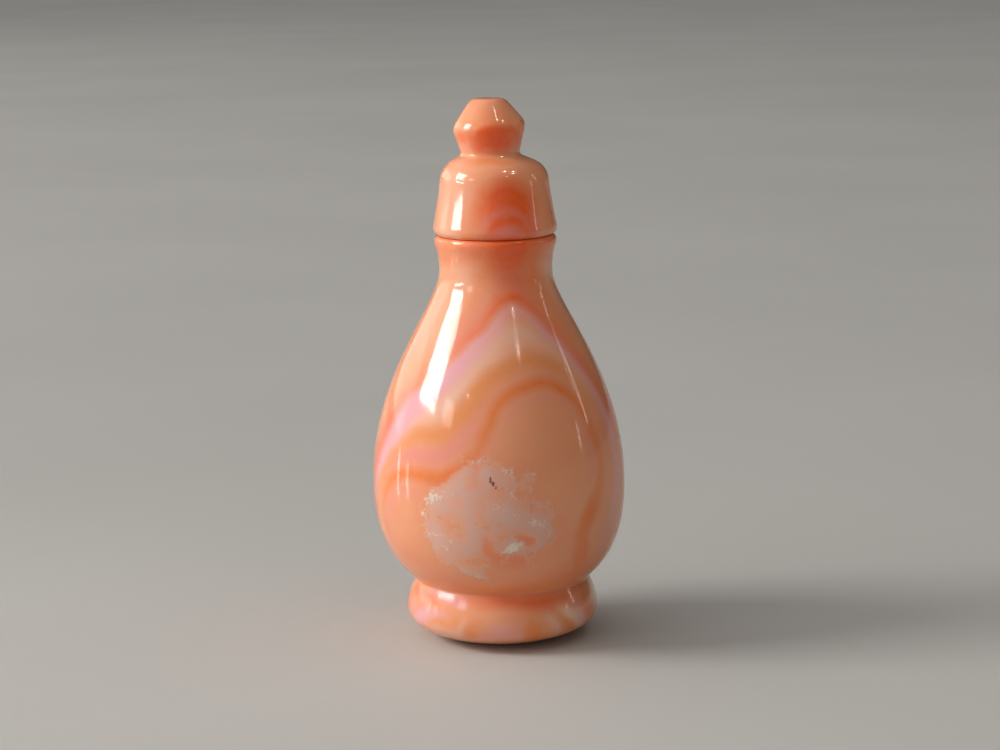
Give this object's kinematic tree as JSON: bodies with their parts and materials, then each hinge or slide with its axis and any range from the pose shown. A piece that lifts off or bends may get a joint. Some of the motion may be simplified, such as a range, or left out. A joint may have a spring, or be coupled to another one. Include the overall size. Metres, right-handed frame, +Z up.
{
  "type": "glass snuff bottle with lid",
  "caption": "Small pear-shaped bottle of opaque marbled glass on a round foot, hollow, with a bell-shaped lid that lifts off by its knob.",
  "frame": {"origin": "on the table, under the axis of the belly", "axes": "+Z up along the bottle's axis; -Y towards the side with the pale round sticker mark, +X to that side's right"},
  "size_m": [0.0374, 0.0374, 0.08],
  "materials": {
    "bottle_glass": "glossy opaque marbled glass, salmon pink with orange and pale lilac bands",
    "lid_glass": "glossy opaque marbled glass, peach with a deep orange cloud"
  },
  "bodies": {
    "root": {"bottle": "bottle_glass", "lid": "lid_glass"}
  },
  "joints": []
}
